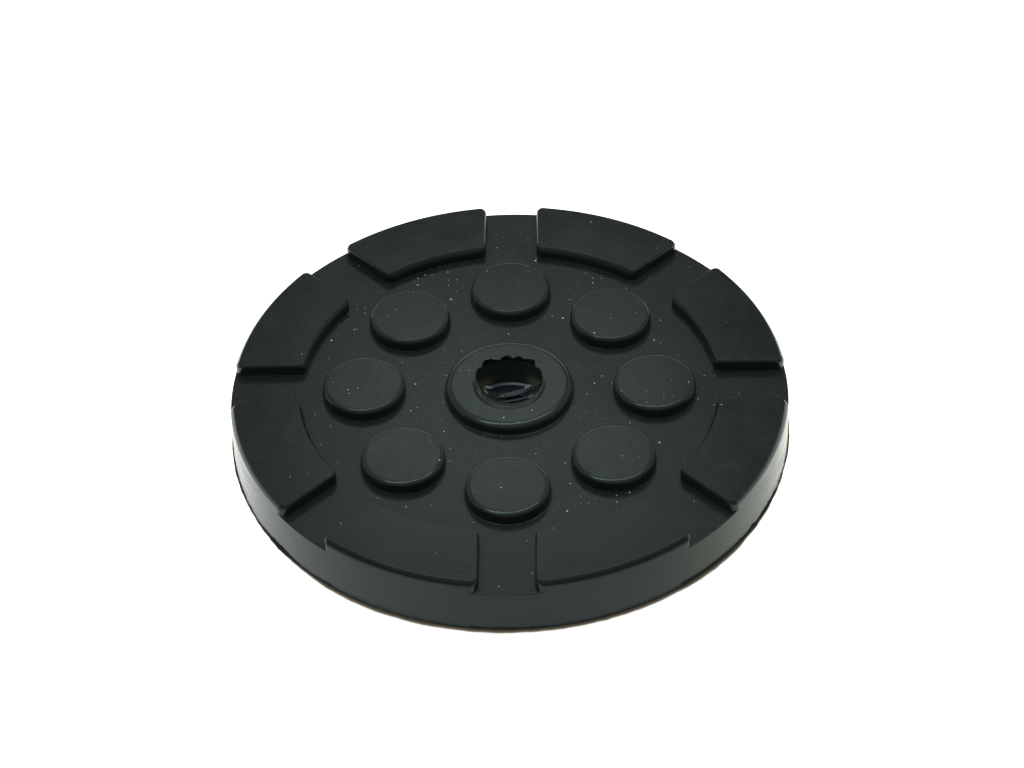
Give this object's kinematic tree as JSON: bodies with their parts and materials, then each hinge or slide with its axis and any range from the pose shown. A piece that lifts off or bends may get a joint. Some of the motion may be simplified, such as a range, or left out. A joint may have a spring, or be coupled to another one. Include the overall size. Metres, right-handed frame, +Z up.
{
  "type": "rubber lift pad",
  "caption": "Round moulded rubber pad with raised rim blocks, a ring of round studs and a central boss with a counterbored screw hole.",
  "frame": {"origin": "centre of the flat underside", "axes": "+Z up along the screw hole, out of the patterned face; +X and +Y through the middle of a gap between two rim blocks"},
  "size_m": [0.1464, 0.1464, 0.0154],
  "materials": {
    "rubber": "satin black, moulded"
  },
  "bodies": {
    "root": {"rubber_pad": "rubber"}
  },
  "joints": []
}
